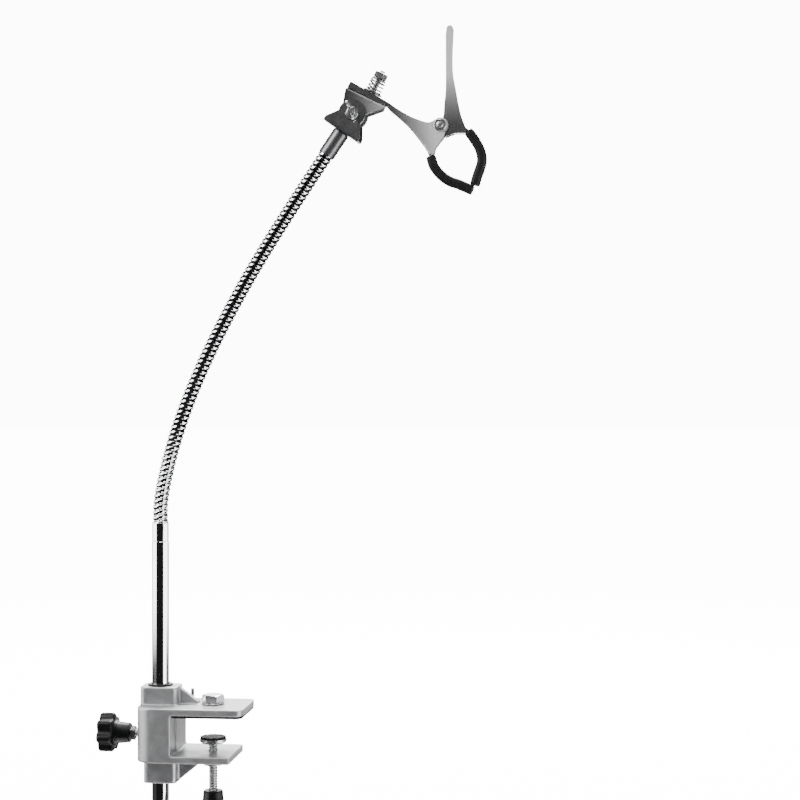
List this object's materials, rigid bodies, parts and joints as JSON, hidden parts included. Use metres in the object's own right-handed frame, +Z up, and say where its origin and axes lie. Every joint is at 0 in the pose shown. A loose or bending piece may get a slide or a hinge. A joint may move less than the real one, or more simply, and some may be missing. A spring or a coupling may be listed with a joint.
{
  "type": "clamp-on flexible holder arm",
  "caption": "Table-edge clamp with a height-adjustable pole, a bendable metal neck, a tilting swivel head and a sprung clip with rubber-sleeved jaws.",
  "frame": {"origin": "middle of the upper jaw pad's flat underside, which rests on the table top", "axes": "+Z up along the pole, +X from the table edge in over the table, +Y to the back of the clamp"},
  "size_m": [0.4347, 0.08, 0.902],
  "materials": {
    "cast_aluminium": "satin, tumbled casting",
    "chrome": "mirror",
    "dark_nickel": "dark nickel plate, semi-gloss",
    "bright_steel": "bright nickel plate",
    "black_rubber": "matt",
    "black_plastic": "fine grain, semi-gloss"
  },
  "bodies": {
    "clamp": {"clamp_casting": "cast_aluminium", "jaw_pad": "black_rubber", "pad_bolt_washer": "bright_steel", "pad_bolt": "bright_steel", "rib_stud": "dark_nickel", "lower_bush": "black_plastic"},
    "lock_pad": {"lock_tip_pad": "black_plastic"},
    "lock_knob": {"lock_screw": "bright_steel", "lock_jam_nut": "dark_nickel", "lock_knob": "black_plastic"},
    "table_foot": {"foot_rubber": "black_rubber", "foot_disc": "bright_steel"},
    "table_screw": {"clamp_screw": "bright_steel", "clamp_knob": "black_plastic"},
    "pole_turn": {"pole_bush": "black_plastic"},
    "pole": {"pole_tube": "chrome", "pole_end_cap": "black_plastic", "pole_ferrule": "chrome", "neck_link_1": "chrome"},
    "link_2": {"neck_link_2": "chrome"},
    "link_3": {"neck_link_3": "chrome"},
    "link_4": {"neck_link_4": "chrome"},
    "link_5": {"neck_link_5": "chrome"},
    "link_6": {"neck_link_6": "chrome"},
    "link_7": {"neck_link_7": "chrome"},
    "link_8": {"neck_link_8": "chrome"},
    "head": {"neck_link_9": "chrome", "head_ferrule": "dark_nickel", "lower_bracket": "dark_nickel", "bracket_screw": "bright_steel", "tilt_bolt": "bright_steel"},
    "wing_washer": {"wing_washer": "bright_steel"},
    "wing_nut": {"wing_nut": "bright_steel"},
    "tilt": {"upper_bracket": "dark_nickel", "swivel_bolt": "bright_steel", "swivel_lower_washer": "dark_nickel", "swivel_spring": "dark_nickel", "swivel_upper_washer": "dark_nickel", "swivel_nut": "bright_steel"},
    "clip": {"clip_fixed_half": "bright_steel", "clip_rivet": "bright_steel", "clip_spring": "dark_nickel", "fixed_jaw_sleeve": "black_rubber"},
    "clip_jaw": {"clip_moving_half": "bright_steel", "moving_jaw_sleeve": "black_rubber"}
  },
  "joints": [
    {"name": "lock_screw_travel", "type": "slide", "parent": "clamp", "child": "lock_pad", "axis": [-1, 0, 0], "range_m": [0, 0.0025]},
    {"name": "lock_knob_turn", "type": "hinge", "parent": "lock_pad", "child": "lock_knob", "pos_m": [-0.1, 0, -0.024], "axis": [-1, 0, 0], "range_deg": [0, 720]},
    {"name": "table_screw_travel", "type": "slide", "parent": "clamp", "child": "table_foot", "axis": [0, 0, -1], "range_m": [-0.024, 0.006]},
    {"name": "table_screw_turn", "type": "hinge", "parent": "table_foot", "child": "table_screw", "pos_m": [0, 0, -0.1], "axis": [0, 0, -1], "range_deg": [-2880, 720]},
    {"name": "pole_pan", "type": "hinge", "parent": "clamp", "child": "pole_turn", "pos_m": [-0.06, 0, 0], "axis": [0, 0, 1], "continuous": true},
    {"name": "pole_height", "type": "slide", "parent": "pole_turn", "child": "pole", "axis": [0, 0, 1], "range_m": [-0.15, 0.045]},
    {"name": "neck_bend_1", "type": "hinge", "parent": "pole", "child": "link_2", "pos_m": [-0.06, 0, 0.24], "axis": [0, 1, 0], "range_deg": [-20, 10]},
    {"name": "neck_sway_1", "type": "hinge", "parent": "link_2", "child": "link_3", "pos_m": [-0.04718, 0, 0.29554], "axis": [0.9455, 0, -0.3256], "range_deg": [-20, 20]},
    {"name": "neck_bend_2", "type": "hinge", "parent": "link_3", "child": "link_4", "pos_m": [-0.02862, 0, 0.34943], "axis": [0, 1, 0], "range_deg": [-20, 20]},
    {"name": "neck_sway_2", "type": "hinge", "parent": "link_4", "child": "link_5", "pos_m": [-0.00544, 0, 0.40151], "axis": [0.887, 0, -0.4618], "range_deg": [-20, 20]},
    {"name": "neck_bend_3", "type": "hinge", "parent": "link_5", "child": "link_6", "pos_m": [0.02088, 0, 0.45206], "axis": [0, 1, 0], "range_deg": [-20, 20]},
    {"name": "neck_sway_3", "type": "hinge", "parent": "link_6", "child": "link_7", "pos_m": [0.04938, 0, 0.50143], "axis": [0.8434, 0, -0.5373], "range_deg": [-20, 20]},
    {"name": "neck_bend_4", "type": "hinge", "parent": "link_7", "child": "link_8", "pos_m": [0.08001, 0, 0.5495], "axis": [0, 1, 0], "range_deg": [-20, 20]},
    {"name": "neck_sway_4", "type": "hinge", "parent": "link_8", "child": "head", "pos_m": [0.11147, 0, 0.59703], "axis": [0.8241, 0, -0.5664], "range_deg": [-20, 20]},
    {"name": "wing_washer_travel", "type": "slide", "parent": "head", "child": "wing_washer", "axis": [0, -1, 0], "range_m": [0, 0.001]},
    {"name": "wing_nut_turn", "type": "hinge", "parent": "wing_washer", "child": "wing_nut", "pos_m": [0.15786, -0.02, 0.66453], "axis": [0, -1, 0], "range_deg": [0, 360]},
    {"name": "head_tilt", "type": "hinge", "parent": "head", "child": "tilt", "pos_m": [0.15786, 0, 0.66453], "axis": [0, 1, 0], "range_deg": [-60, 60]},
    {"name": "clip_swivel", "type": "hinge", "parent": "tilt", "child": "clip", "pos_m": [0.17573, 0, 0.68132], "axis": [0.4462, 0, 0.8949], "range_deg": [-110, 110]},
    {"name": "clip_open", "type": "hinge", "parent": "clip", "child": "clip_jaw", "pos_m": [0.25505, 0, 0.65015], "axis": [0, -1, 0], "range_deg": [0, 38], "stiffness_Nm_per_rad": 0.8, "springref_deg": -34.38, "deforming": ["clip_spring"]}
  ],
  "couplings": [
    {"joint": "lock_screw_travel", "follows": "lock_knob_turn", "m_per_rad": 0.00019894},
    {"joint": "table_screw_travel", "follows": "table_screw_turn", "m_per_rad": 0.00047746},
    {"joint": "wing_washer_travel", "follows": "wing_nut_turn", "m_per_rad": 0.00015915}
  ]
}
